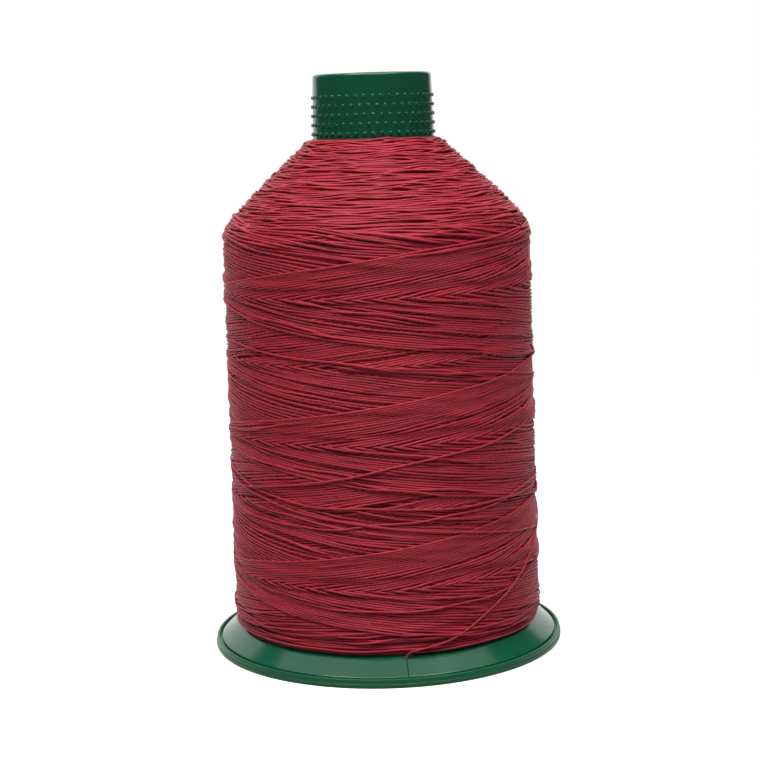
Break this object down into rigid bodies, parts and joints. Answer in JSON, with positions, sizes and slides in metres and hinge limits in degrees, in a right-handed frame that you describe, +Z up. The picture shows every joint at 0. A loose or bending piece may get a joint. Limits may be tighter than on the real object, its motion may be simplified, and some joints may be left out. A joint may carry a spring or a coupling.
{
  "type": "spool of thread",
  "caption": "King spool of heavy cross-wound sewing thread on a tapered tube; its coned flange grips the thread's end in a fine slit and stands on a clip-in lock base.",
  "frame": {"origin": "on the floor at the middle of the lock base", "axes": "+Z up along the tube; -Y is the side where the thread's end goes into the slit, +X is to the right of it"},
  "size_m": [0.0826, 0.0826, 0.133],
  "materials": {
    "tube_plastic": "injection-moulded dark green polystyrene, satin",
    "flange_plastic": "injection-moulded dark green polystyrene, polished",
    "base_plastic": "injection-moulded dark green polystyrene, polished",
    "thread": "crimson bonded nylon thread, low sheen"
  },
  "bodies": {
    "base": {"lock_base": "base_plastic"},
    "spool": {"winding_tube": "tube_plastic", "base_flange": "flange_plastic", "thread_package": "thread", "outer_turns": "thread", "thread_tail": "thread"}
  },
  "joints": [
    {"name": "lock_slide", "type": "slide", "parent": "base", "child": "spool", "axis": [0, 0, 1], "range_m": [0, 0.003]}
  ]
}
